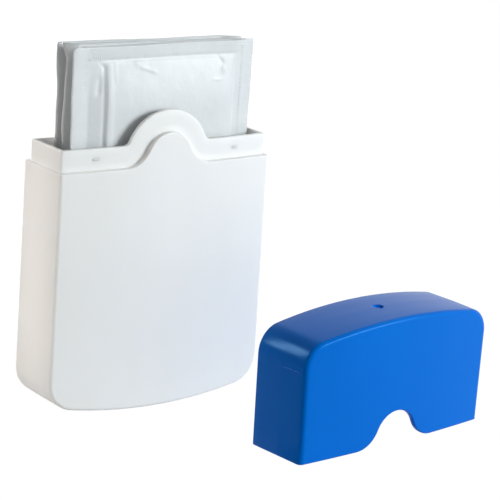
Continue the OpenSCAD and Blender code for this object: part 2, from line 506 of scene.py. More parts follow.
def seen_ray(nodes: bpy.types.Nodes, links: bpy.types.NodeLinks) -> bpy.types.NodeSocket:
    """Gives 1 for a ray from the camera, a reflection or a refraction, else 0.

    Args:
        nodes: The tree's nodes.
        links: The tree's links.

    Returns:
        The socket that holds the value.
    """
    path = nodes.new("ShaderNodeLightPath")
    value = path.outputs["Is Camera Ray"]
    for name in ("Is Glossy Ray", "Is Transmission Ray"):
        larger = nodes.new("ShaderNodeMath")
        larger.operation = "MAXIMUM"
        links.new(value, larger.inputs[0])
        links.new(path.outputs[name], larger.inputs[1])
        value = larger.outputs[0]
    return value


Finish = MouldedPlastic | FoilFilm | NonwovenCloth


@dataclass
class Palette:
    """Every finish of the object, made once."""

    white: MouldedPlastic = MouldedPlastic(
        "case_white", (0.86, 0.86, 0.85), (0.83, 0.83, 0.815), (0.42, 0.52), 0.35,
        scatter=0.3)
    blue: MouldedPlastic = MouldedPlastic(
        "cap_blue", (0.0, 0.145, 0.62), (0.0, 0.134, 0.585), (0.2, 0.27), 0.13,
        (0.06, 0.55, 1.0))
    face_film: FoilFilm = FoilFilm(
        "sachet_face_film", (0.69, 0.71, 0.72), (0.645, 0.67, 0.685), (0.4, 0.5), 0.04, 0.16)
    back_film: FoilFilm = FoilFilm(
        "sachet_back_film", (0.74, 0.74, 0.73), (0.66, 0.66, 0.65), (0.3, 0.42), 0.35, 0.2)
    cloth: NonwovenCloth = NonwovenCloth(
        "wipe_cloth", (0.82, 0.83, 0.84), (0.7, 0.72, 0.74))
    made: dict[str, bpy.types.Material] = field(default_factory=dict)

    def of(self, finish: Finish) -> bpy.types.Material:
        """Gives a finish's material, which is built at its first use.

        Args:
            finish: The finish.

        Returns:
            Its material.
        """
        if finish.name not in self.made:
            self.made[finish.name] = finish.make()
        return self.made[finish.name]

    def dress(self, piece: bpy.types.Object, finish: Finish) -> None:
        """Gives a piece its material.

        Args:
            piece: The piece.
            finish: Its finish, whose name the material takes.
        """
        piece.data.materials.clear()
        piece.data.materials.append(self.of(finish))


# ---------- case ----------

# Distance from the case's middle plane at which a side wall's draft is stated
DRAFT_REACH = 10.5


@dataclass(frozen=True)
class CasePlan:
    """Plan that both halves of the case share: a flat back and a shallow arc in front."""

    width: float = 80.0
    depth: float = 22.0
    bow: float = 1.5

    @property
    def back(self) -> float:
        """The y of the flat back."""
        return self.depth / 2

    def front(self, x: np.ndarray | float, inset: float = 0.0) -> np.ndarray:
        """Follows the front arc.

        Args:
            x: Places across the width.
            inset: How far the face is set in.

        Returns:
            The arc's y at each place.
        """
        radius = ((self.width / 2) ** 2 + self.bow**2) / (2 * self.bow)
        centre = -self.depth / 2 - self.bow + radius
        return centre - np.sqrt((radius - inset) ** 2 - np.square(x))


@dataclass(frozen=True)
class Bell:
    """Outline of the front hump and of the cap's notch: a crown on hollow flanks."""

    crown_r: float
    flank_r: float
    height: float

    def line(self, level: float, end_x: float) -> tuple[np.ndarray, np.ndarray]:
        """Follows the outline, set off outwards, from left to right.

        Args:
            level: How far the line is set off from the outline.
            end_x: Half the width of the face that the line crosses.

        Returns:
            The points' x and their height, without the two ends.
        """
        crown_z = self.height - self.crown_r
        half_w = math.sqrt((self.crown_r + self.flank_r) ** 2 - (crown_z - self.flank_r) ** 2)
        meet = math.atan2(half_w, self.flank_r - crown_z)
        flat = np.linspace(end_x, half_w, 13)[1:]
        turn = np.linspace(0, meet, 11)[1:]
        crown = np.linspace(meet, 0, 11)[1:]
        flank_r, crown_r = self.flank_r - level, self.crown_r + level
        x = np.concatenate([flat, half_w - flank_r * np.sin(turn), crown_r * np.sin(crown)])
        z = np.concatenate([np.full(12, level), self.flank_r - flank_r * np.cos(turn),
                            crown_z + crown_r * np.cos(crown)])
        return (np.concatenate([-x, x[-2::-1]]), np.concatenate([z, z[-2::-1]]))


class Row(Enum):
    """Which part of a wall's edge a row of points belongs to."""

    FRONT = "front fillet"
    SIDE = "side"
    BACK = "back fillet"


@dataclass(frozen=True)
class WallEdge:
    """Section of a side wall from front to back: two fillets and a drafted side."""

    plan: CasePlan
    face_inset: float = 0.0
    front_r: float = 1.2
    back_r: float = 0.5
    front_draft: float = 0.0
    back_draft: float = 0.0
    steps: int = 6
    side_y: tuple[float, ...] = (-6.0, -3.0, -0.12, 0.0, 0.12, 3.0, 6.0)

    def rows(self) -> list[tuple[Row, float, float]]:
        """The rows from front to back.

        Returns:
            Each row's kind, its inset from the outline and its y or its set-back.
        """
        turns = [math.pi / 2 * i / self.steps for i in range(self.steps + 1)]
        front = [(Row.FRONT, self.front_draft + self.front_r * (1 - math.sin(t)),
                  self.front_r * (1 - math.cos(t))) for t in turns]
        side = [(Row.SIDE, (self.front_draft if y < 0 else self.back_draft)
                 * abs(y) / DRAFT_REACH, y) for y in self.side_y]
        back = [(Row.BACK, self.back_draft + self.back_r * (1 - math.sin(t)),
                 self.back_r * (1 - math.cos(t))) for t in reversed(turns)]
        return front + side + back

    def place(self, at: np.ndarray, out: np.ndarray) -> np.ndarray:
        """Lays the rows along an outline.

        Args:
            at: Points of the outline, as x and z.
            out: The outline's outward directions there.

        Returns:
            Points by rows by x, y, z.
        """
        made = []
        for kind, inset, y in self.rows():
            spot = at - inset * out
            if kind is Row.FRONT:
                depth = self.plan.front(spot[:, 0], self.face_inset) + y
            elif kind is Row.BACK:
                depth = self.plan.back - self.face_inset - y
            else:
                depth = y
            made.append(stack(spot[:, 0], depth, spot[:, 1]))
        return np.stack(made, 1)


@dataclass(frozen=True)
class ArchedOutline:
    """Front view of one end of the case: leaning sides, rounded corners and an arch.

    The arch has points at mark_x on both sides of its middle, where a patch can join it.
    """

    rim_w: float
    end_w: float
    height: float
    arch_r: float
    corner_r: float
    mark_x: float = 3.0

    def follow(self, first: float) -> tuple[np.ndarray, np.ndarray]:
        """Follows the outline from the left end of the rim round to the right end.

        Args:
            first: Distance from the rim at which it starts.

        Returns:
            Points as x and distance from the rim, and the outward directions there.
        """
        lean = math.atan((self.end_w - self.rim_w) / 2 / self.height)
        along = np.array([math.sin(lean), math.cos(lean)])
        outward = np.array([math.cos(lean), -math.sin(lean)])
        centre = np.array([0.0, self.height - self.arch_r])
        start = np.array([self.rim_w / 2, 0.0])
        inner = start - self.corner_r * outward - centre
        climb = -inner @ along + math.sqrt((inner @ along) ** 2 - inner @ inner
                                           + (self.arch_r - self.corner_r) ** 2)
        corner = inner + centre + climb * along
        upward = (corner - centre) / np.linalg.norm(corner - centre)
        reach = np.linspace(first / math.cos(lean), climb, 2 + round((climb - first) / 7))
        side = start + reach[:, None] * along
        opening = math.acos(float(outward @ upward))
        turns = np.linspace(0, opening, 15)[1:, None] / opening
        swing = (np.sin((1 - turns) * opening) * outward + np.sin(turns * opening) * upward) \
            / math.sin(opening)
        last_x = float(centre[0] + self.arch_r * upward[0])
        arch_x = np.linspace(last_x, self.mark_x, 2 + round((last_x - self.mark_x) / 3.5))[1:]
        rise = np.sqrt(1 - (arch_x / self.arch_r) ** 2)
        arch_out = np.stack([arch_x / self.arch_r, rise], -1)
        at = np.concatenate([side, corner + self.corner_r * swing,
                             centre + self.arch_r * arch_out])
        out = np.concatenate([np.repeat(outward[None], len(side), 0), swing, arch_out])
        flip = np.array([-1.0, 1.0])
        return (np.concatenate([at * flip, at[::-1]]), np.concatenate([out * flip, out[::-1]]))


@dataclass(frozen=True)
class Skin:
    """One side of the case's wall, outer or inner, from its rim round its closed end.

    Attributes:
        outline: Its front view.
        edge: Its section from front to back.
        rim_z: Height of the outline's rim.
        towards: 1 if the closed end is above the rim, -1 if it is below.
        level: Height at which the skin starts.
    """

    outline: ArchedOutline
    edge: WallEdge
    rim_z: float
    towards: float
    level: float

    def strip(self) -> np.ndarray:
        """Lays the skin round the sides and the closed end.

        Returns:
            Points from left to right, by rows from front to back, by x, y, z.
        """
        start = abs(self.rim_z - self.level)
        at, out = self.outline.follow(start)
        flip = np.array([1.0, self.towards])
        return self.edge.place(at * flip + np.array([0.0, self.rim_z]), out * flip)


@dataclass(frozen=True)
class RimStep:
    """One ring of points round the rim."""

    side_inset: float
    face_inset: float
    level: float
    front_r: float
    back_r: float = 0.5


def quarter(radius: float, parts: int = 3) -> list[tuple[float, float]]:
    """Sine and cosine sides of a quarter turn, without its start.

    Args:
        radius: Radius of the turn.
        parts: Number of steps.

    Returns:
        For each step, radius times (1 - cos) and radius times sin.
    """
    turns = [math.pi / 2 * (i + 1) / parts for i in range(parts)]
    return [(radius * (1 - math.cos(t)), radius * math.sin(t)) for t in turns]


@dataclass
class CaseHalf:
    """Closed wall of the body or of the cap, with a rim that rises over a bell."""

    plan: CasePlan
    bell: Bell
    shoulder: float

    def ring(self, left: np.ndarray, right: np.ndarray, face_inset: float,
             level: float) -> np.ndarray:
        """Closes two wall edges into one ring round the case.

        Args:
            left: Rows of the left wall, from front to back.
            right: Rows of the right wall, from front to back.
            face_inset: How far the broad faces are set in.
            level: Height of the ring above the shoulder.

        Returns:
            The ring's points: front, right, back, left.
        """
        x, rise = self.bell.line(level, float(right[0, 0]))
        front = stack(x, self.plan.front(x, face_inset), self.shoulder + rise)
        back_x = np.linspace(float(right[-1, 0]), float(left[-1, 0]), len(x) + 2)[1:-1]
        back = stack(back_x, self.plan.back - face_inset, self.shoulder + level)
        return np.concatenate([front, right, back, left[::-1]])

    def step(self, step: RimStep) -> np.ndarray:
        """Makes the ring of one rim step.

        Args:
            step: The step's insets, level and fillets.

        Returns:
            The ring's points, as in ring().
        """
        edge = WallEdge(self.plan, step.face_inset, step.front_r, step.back_r)
        at = np.array([[self.plan.width / 2 - step.side_inset, self.shoulder + step.level]])
        right = edge.place(at, np.array([[1.0, 0.0]]))[0]
        return self.ring(right * [-1, 1, 1], right, step.face_inset, step.level)

    def faces(self, shell: Shell, ring: np.ndarray, strip: np.ndarray, inset: float) -> None:
        """Fills the broad front and back faces of one skin.

        Args:
            shell: The mesh so far.
            ring: The skin's ring at the rim.
            strip: The skin round the sides and the closed end.
            inset: How far the faces are set in.
        """
        rows = strip.shape[1]
        line = (len(ring) - 2 * rows) // 2
        front = np.concatenate([ring[:line], strip[::-1, 0]])
        shell.patch(front, (0, 2), lambda x, z: stack(x, self.plan.front(x, inset), z), 5.0)
        back = np.concatenate([ring[line + rows:2 * line + rows], strip[:, -1]])
        shell.patch(back, (0, 2), lambda x, z: stack(x, self.plan.back - inset, z), 9.0)

    def wall(self, outer: Skin, steps: Sequence[RimStep], inner: Skin,
             open_cells: Callable[[np.ndarray], np.ndarray] | None = None) -> Shell:
        """Builds the closed wall.

        Args:
            outer: The outer skin.
            steps: The rings between the two skins.
            inner: The inner skin.
            open_cells: Tells which cells of the outer strip stay open.

        Returns:
            The mesh so far, closed but for those cells.
        """
        shell = Shell()
        rings = [self.step(s) for s in steps]
        for skin, at_start in ((outer, True), (inner, False)):
            strip = skin.strip()
            ring = self.ring(strip[0], strip[-1], skin.edge.face_inset,
                             skin.level - self.shoulder)
            rings = [ring, *rings] if at_start else [*rings, ring]
            shell.grid(strip, open_cells(strip) if at_start and open_cells else None)
            self.faces(shell, ring, strip, skin.edge.face_inset)
        shell.rings(rings)
        return shell


@dataclass
class Body:
    """The white open body: a straight case with a neck and a hump at its front."""

    plan: CasePlan = CasePlan()
    bell: Bell = Bell(8.5, 9.5, 10.9)
    foot_w: float = 81.4
    shoulder: float = 81.5
    arch_r: float = 192.0
    corner_r: float = 10.0
    floor_t: float = 2.0
    neck_h: float = 7.1
    neck_wall: float = 1.5
    side_ledge: float = 1.05
    face_ledge: float = 1.8
    front_draft: float = 0.12
    back_draft: float = 0.05
    edge_r: float = 1.0
    back_r: float = 0.5
    shoulder_r: float = 0.35
    root_r: float = 0.3
    rim_r: float = 0.45
    neck_r: float = 0.9
    cavity_r: float = 0.6
    nub_x: float = 26.5
    nub_l: float = 3.0
    nub_r: float = 0.6
    nub_proud: float = 0.16

    def rim_steps(self) -> list[RimStep]:
        """Lists the rings from the shoulder over the neck's rim to the cavity.

        Returns:
            The steps, in order.
        """
        steps = [RimStep(a, a, b - self.shoulder_r, self.edge_r - a / 2)
                 for a, b in quarter(self.shoulder_r)]
        side, face = self.side_ledge, self.face_ledge
        low, high, root, neck = self.neck_h - self.rim_r, self.neck_h, self.root_r, self.neck_r
        steps.append(RimStep(side - root, face - root, 0.0, neck))
        steps += [RimStep(side - root + b, face - root + b, a, neck) for a, b in quarter(root)]
        steps += [RimStep(side, face, z, neck) for z in (high / 3, high * 2 / 3, low)]
        steps += [RimStep(side + a, face + a, low + b, neck - a / 2)
                  for a, b in quarter(self.rim_r)]
        side, face = side + self.neck_wall - self.rim_r, face + self.neck_wall - self.rim_r
        steps.append(RimStep(side, face, high, (neck + self.cavity_r) / 2))
        steps += [RimStep(side + b, face + b, high - a, self.cavity_r)
                  for a, b in quarter(self.rim_r)[:-1]]
        return steps

    def nub(self, shell: Shell, side: int) -> None:
        """Adds the rounded snap ridge on one side of the neck's front.

        Args:
            shell: The mesh so far.
            side: -1 for the left, 1 for the right.
        """
        x, y = side * self.nub_x, float(self.plan.front(self.nub_x, self.face_ledge))
        y += self.nub_r - self.nub_proud
        turns = round_turn(16)
        rings = []
        for tip in np.linspace(-90, 90, 13):
            r = self.nub_r * max(math.cos(math.radians(tip)), 0.02)
            reach = (self.nub_l / 2 - self.nub_r) * np.sign(tip) \
                + self.nub_r * math.sin(math.radians(tip))
            rings.append(stack(x + reach, y + r * np.cos(turns),
                               self.shoulder + self.neck_h / 2 + r * np.sin(turns)))
        shell.rod(rings)

    def build(self, palette: Palette) -> list[bpy.types.Object]:
        """Builds and dresses the body.

        Args:
            palette: The finishes.

        Returns:
            Its pieces.
        """
        outer = Skin(ArchedOutline(self.plan.width, self.foot_w, self.shoulder, self.arch_r,
                                   self.corner_r),
                     WallEdge(self.plan, 0.0, self.edge_r, self.back_r, self.front_draft,
                              self.back_draft),
                     self.shoulder, -1.0, self.shoulder - self.shoulder_r)
        cavity_w = self.plan.width - 2 * (self.side_ledge + self.neck_wall)
        rim_z = self.shoulder + self.neck_h
        inner = Skin(ArchedOutline(cavity_w, cavity_w, rim_z - self.floor_t,
                                   self.arch_r - self.floor_t, self.corner_r - self.floor_t),
                     WallEdge(self.plan, self.face_ledge + self.neck_wall, self.cavity_r),
                     rim_z, -1.0, rim_z - self.rim_r)
        shell = CaseHalf(self.plan, self.bell, self.shoulder).wall(outer, self.rim_steps(), inner)
        for side in (-1, 1):
            self.nub(shell, side)
        piece = shell.build("body_moulding")
        palette.dress(piece, palette.white)
        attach(piece, "case")
        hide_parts("body")
        return [piece]


@dataclass
class Cap:
    """The blue pull-off cap, which stands beside the body with its mouth down."""

    plan: CasePlan = CasePlan()
    notch: Bell = Bell(8.65, 9.5, 11.05)
    height: float = 42.6
    overhang: float = 0.5
    top_w: float = 82.2
    arch_r: float = 192.0
    corner_r: float = 8.8
    top_t: float = 1.6
    side_wall: float = 0.95
    face_wall: float = 1.7
    front_draft: float = 0.3
    back_draft: float = 0.0
    edge_r: float = 1.5
    back_r: float = 0.4
    rim_r: float = 0.5
    lip_r: float = 0.25
    mouth_r: float = 0.8
    hollow_r: float = 0.6
    gate_r: float = 1.9
    gate_depth: float = 1.15
    stub_r: float = 0.55
    stub_h: float = 0.75
    gate_zone: float = 3.0
    seam_z: float = 29.7
    seam_r: float = 0.15
    seam_run: tuple[tuple[float, float], ...] = ((-9.4, 0.1), (-8.6, 0.0), (-1.5, 0.03),
                                                 (0.4, 0.12))
    x: float = 49.2
    front: float = 62.5
    yaw: float = 6.0

    @property
    def mouth_w(self) -> float:
        """Outer width at the mouth."""
        return self.plan.width + 2 * self.overhang

    def in_gate_zone(self, strip: np.ndarray) -> np.ndarray:
        """Tells which cells of the outer strip the gate's patch takes the place of.

        Args:
            strip: The outer skin's strip.

        Returns:
            True for each such cell.
        """
        middle = (strip[:-1, :-1] + strip[1:, 1:]) / 2
        return ((abs(middle[..., 0]) < self.gate_zone) & (abs(middle[..., 1]) < self.gate_zone)
                & (middle[..., 2] > self.height / 2))

    def top_z(self, x: np.ndarray, y: np.ndarray) -> np.ndarray:
        """Height of the outer top near its middle."""
        return (self.height - self.arch_r + np.sqrt(self.arch_r**2 - np.square(x))
                - np.where(y < 0, self.front_draft, self.back_draft) * np.abs(y) / DRAFT_REACH)

    def gate(self, shell: Shell, strip: np.ndarray) -> None:
        """Adds the moulding gate's dimple, with its stub, in the middle of the top.

        Args:
            shell: The mesh so far.
            strip: The outer skin's strip.
        """
        zone = self.gate_zone + 1e-3
        top = strip[(abs(strip[..., 0]) <= zone) & (abs(strip[..., 1]) <= zone)
                    & (strip[..., 2] > self.height / 2)]
        left, right = top[top[:, 0] < 0], top[top[:, 0] > 0]
        border = np.concatenate([left[np.argsort(left[:, 1])[::-1]],
                                 right[np.argsort(right[:, 1])]])
        turns = round_turn(40)
        ring_x, ring_y = self.gate_r * np.cos(turns), self.gate_r * np.sin(turns)
        edge = stack(ring_x, ring_y, self.top_z(ring_x, ring_y))
        shell.patch(border, (0, 1), lambda x, y: stack(x, y, self.top_z(x, y)), 0.7, 0.2,
                    self.gate_r, edge)
        bottom = self.height - self.gate_depth
        stub = bottom + self.stub_h
        profile = [(self.gate_r - 0.05, self.height - 0.04), (self.gate_r - 0.1, self.height - 0.2),
                   (self.gate_r - 0.14, bottom + 0.2), (self.gate_r - 0.3, bottom + 0.03),
                   (self.gate_r - 0.55, bottom), (self.stub_r + 0.25, bottom),
                   (self.stub_r + 0.05, bottom + 0.08), (self.stub_r, stub - 0.12),
                   (self.stub_r - 0.1, stub - 0.02), (self.stub_r - 0.22, stub)]
        rings = [edge] + [stack(r * np.cos(turns), r * np.sin(turns), z) for r, z in profile]
        shell.rings(rings)
        shell.cap_ring(rings[-1])

    def seam(self, shell: Shell) -> None:
        """Adds the mould's witness line, a fine ridge on the front half of the left side.

        It follows seam_run, which gives its y and how far it has sunk into the wall there.

        Args:
            shell: The mesh so far.
        """
        turns = round_turn(8)
        side_x = (self.mouth_w + (self.top_w - self.mouth_w) * self.seam_z / self.height) / 2
        ring_x = self.seam_r * (0.6 + np.cos(turns)) - side_x
        shell.rod([stack(ring_x + inset, y, self.seam_z + self.seam_r * np.sin(turns))
                   for y, inset in self.seam_run])

    def build(self, palette: Palette) -> list[bpy.types.Object]:
        """Builds and dresses the cap.

        Args:
            palette: The finishes.

        Returns:
            Its pieces.
        """
        outer = Skin(ArchedOutline(self.mouth_w, self.top_w, self.height, self.arch_r,
                                   self.corner_r),
                     WallEdge(self.plan, 0.0, self.edge_r, self.back_r, self.front_draft,
                              self.back_draft), 0.0, 1.0, self.rim_r)
        hollow_w = self.plan.width - 2 * self.side_wall
        inner = Skin(ArchedOutline(hollow_w, hollow_w, self.height - self.top_t,
                                   self.arch_r - self.top_t, self.corner_r - self.top_t),
                     WallEdge(self.plan, self.face_wall, self.hollow_r), 0.0, 1.0, self.lip_r)
        steps = [RimStep(a - self.overhang, a, self.rim_r - b, self.edge_r - a / 2)
                 for a, b in quarter(self.rim_r, 4)]
        side, face = self.side_wall - self.lip_r, self.face_wall - self.lip_r
        steps.append(RimStep(side, face, 0.0, self.mouth_r))
        steps += [RimStep(side + b, face + b, a, (self.mouth_r + self.hollow_r) / 2)
                  for a, b in quarter(self.lip_r)[:-1]]
        shell = CaseHalf(self.plan, self.notch, 0.0).wall(outer, steps, inner, self.in_gate_zone)
        self.gate(shell, outer.strip())
        self.seam(shell)
        place = Matrix.Translation((self.x, -self.front, 0)) \
            @ Matrix.Rotation(math.radians(self.yaw), 4, "Z")
        piece = shell.build("cap_moulding", place)
        palette.dress(piece, palette.blue)
        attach(piece, "cap")
        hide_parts("cap")
        return [piece]


# ---------- sachets ----------


@dataclass(frozen=True)
class Crease:
    """A straight ridge, or a valley where its height is below zero, in a film."""

    start: tuple[float, float]
    end: tuple[float, float]
    width: float
    height: float

    def relief(self, x: np.ndarray, z: np.ndarray) -> np.ndarray:
        """Shapes the crease.

        Args:
            x: Places across the width.
            z: Heights.

        Returns:
            How far it lifts the film at each place.
        """
        way = np.subtract(self.end, self.start)
        length = float(np.hypot(*way))
        along = ((x - self.start[0]) * way[0] + (z - self.start[1]) * way[1]) / length
        aside = ((x - self.start[0]) * way[1] - (z - self.start[1]) * way[0]) / length
        beyond = np.maximum(np.maximum(-along, along - length), 0.0)
        return self.height * np.exp(-(aside**2) / self.width**2
                                    - beyond**2 / (1.5 * self.width) ** 2)


@dataclass(frozen=True)
class Warp:
    """How a sachet leans, shears and waves inside the case, and where it does so.

    Attributes:
        shift: How far its top moves to the right, at the left and at the right border.
        rise: Slope of its top edge.
        wave: Size of the side borders' waves in the sachet's plane.
        curl: Size of their waves out of that plane.
        lean: How far the left and the right border lean back at the top.
        phase: Where the waves start.
        corner: Radius of the top left corner and of the other three.
        fold: How far the top left corner is bent back.
        tip: How far the film's tip stands up beside that corner.
        grow_h: Height over which the warp grows from nothing.
        border_x: Distance from the middle at which the borders start.
        border_w: Width over which a border takes up the warp.
        fold_x: Where the bent corner starts.
        fold_w: Width and height over which it bends.
        tip_x: Where the tip is.
        tip_w: Width of the tip.
    """

    shift: tuple[float, float] = (1.0, 1.0)
    rise: float = 0.0
    wave: float = 0.22
    curl: float = 0.3
    lean: tuple[float, float] = (0.0, 0.0)
    phase: float = 0.0
    corner: tuple[float, float] = (0.5, 0.5)
    fold: float = 0.0
    tip: float = 0.0
    grow_h: float = 80.0
    border_x: float = 26.0
    border_w: float = 8.0
    fold_x: float = -28.5
    fold_w: float = 5.0
    tip_x: float = -32.2
    tip_w: float = 0.8


@dataclass(frozen=True)
class SealRibs:
    """Embossed ribs that cross the sealed borders at an even pitch."""

    radius: float
    length: float
    pitch: float = 0.7
    segments: int = 3
    unevenness: float = 0.06
    seed: int = 7

    def tree(self, material: bpy.types.Material) -> bpy.types.NodeTree:
        """Builds the node tree that sets a rib on each step of a guide line.

        Args:
            material: The ribs' material.

        Returns:
            The tree, with inputs for the ribs' sizes.
        """
        tree = bpy.data.node_groups.new("seal_ribs", "GeometryNodeTree")
        face = tree.interface
        face.new_socket("Guides", in_out="INPUT", socket_type="NodeSocketGeometry")
        for name in ("Rib pitch", "Rib radius", "Rib length", "Unevenness"):
            face.new_socket(name, in_out="INPUT", socket_type="NodeSocketFloat")
        face.new_socket("Rib segments", in_out="INPUT", socket_type="NodeSocketInt")
        face.new_socket("Ribs", in_out="OUTPUT", socket_type="NodeSocketGeometry")
        nodes, links = tree.nodes, tree.links
        enter, leave = nodes.new("NodeGroupInput"), nodes.new("NodeGroupOutput")
        curve = nodes.new("GeometryNodeMeshToCurve")
        points = nodes.new("GeometryNodeCurveToPoints")
        points.mode = "LENGTH"
        across = nodes.new("ShaderNodeVectorMath")
        across.operation = "CROSS_PRODUCT"
        across.inputs[1].default_value = (0.0, 1.0, 0.0)
        turn = nodes.new("FunctionNodeAlignRotationToVector")
        turn.axis = "Z"
        bar = nodes.new("GeometryNodeMeshCylinder")
        bar.inputs["Vertices"].default_value = 6
        spread = nodes.new("FunctionNodeRandomValue")
        spread.data_type = "FLOAT"
        spread.inputs["Seed"].default_value = self.seed
        least = nodes.new("ShaderNodeMath")
        least.operation = "SUBTRACT"
        least.inputs[0].default_value = 1.0
        place = nodes.new("GeometryNodeInstanceOnPoints")
        real = nodes.new("GeometryNodeRealizeInstances")
        soft = nodes.new("GeometryNodeSetShadeSmooth")
        dress = nodes.new("GeometryNodeSetMaterial")
        dress.inputs["Material"].default_value = material
        for source, target in (
            (enter.outputs["Guides"], curve.inputs["Mesh"]),
            (curve.outputs[0], points.inputs["Curve"]),
            (enter.outputs["Rib pitch"], points.inputs["Length"]),
            (points.outputs["Tangent"], across.inputs[0]),
            (across.outputs[0], turn.inputs["Vector"]),
            (enter.outputs["Rib radius"], bar.inputs["Radius"]),
            (enter.outputs["Rib length"], bar.inputs["Depth"]),
            (enter.outputs["Rib segments"], bar.inputs["Side Segments"]),
            (enter.outputs["Unevenness"], least.inputs[1]),
            (least.outputs[0], spread.inputs[2]),
            (points.outputs["Points"], place.inputs["Points"]),
            (bar.outputs["Mesh"], place.inputs["Instance"]),
            (turn.outputs[0], place.inputs["Rotation"]),
            (spread.outputs[1], place.inputs["Scale"]),
            (place.outputs[0], real.inputs[0]),
            (real.outputs[0], soft.inputs[0]),
            (soft.outputs[0], dress.inputs["Geometry"]),
            (dress.outputs[0], leave.inputs[0]),
        ):
            links.new(source, target)
        return tree

    def run(self, name: str, guides: Sequence[tuple[np.ndarray, np.ndarray]],
            material: bpy.types.Material) -> bpy.types.Mesh:
        """Sets ribs along straight guide lines.

        Args:
            name: The mesh's name.
            guides: Start and end of each guide line.
            material: The ribs' material.

        Returns:
            The ribs as one plain mesh, in millimetres.
        """
        lines = bpy.data.meshes.new(name + "_guides")
        ends = np.concatenate([np.stack(g) for g in guides])
        lines.from_pydata(ends.tolist(), [(2 * i, 2 * i + 1) for i in range(len(guides))], [])
        carrier = stand(name + "_guides", lines)
        tree = self.tree(material)
        modifier = carrier.modifiers.new("ribs", "NODES")
        modifier.node_group = tree
        for item in tree.interface.items_tree:
            value = {"Rib pitch": self.pitch, "Rib radius": self.radius,
                     "Rib length": self.length, "Unevenness": self.unevenness,
                     "Rib segments": self.segments}.get(item.name)
            if value is not None and item.in_out == "INPUT":
                modifier[item.identifier] = value
        graph = bpy.context.evaluated_depsgraph_get()
        mesh = bpy.data.meshes.new_from_object(carrier.evaluated_get(graph))
        bpy.data.objects.remove(carrier)
        mesh.name = name
        return mesh


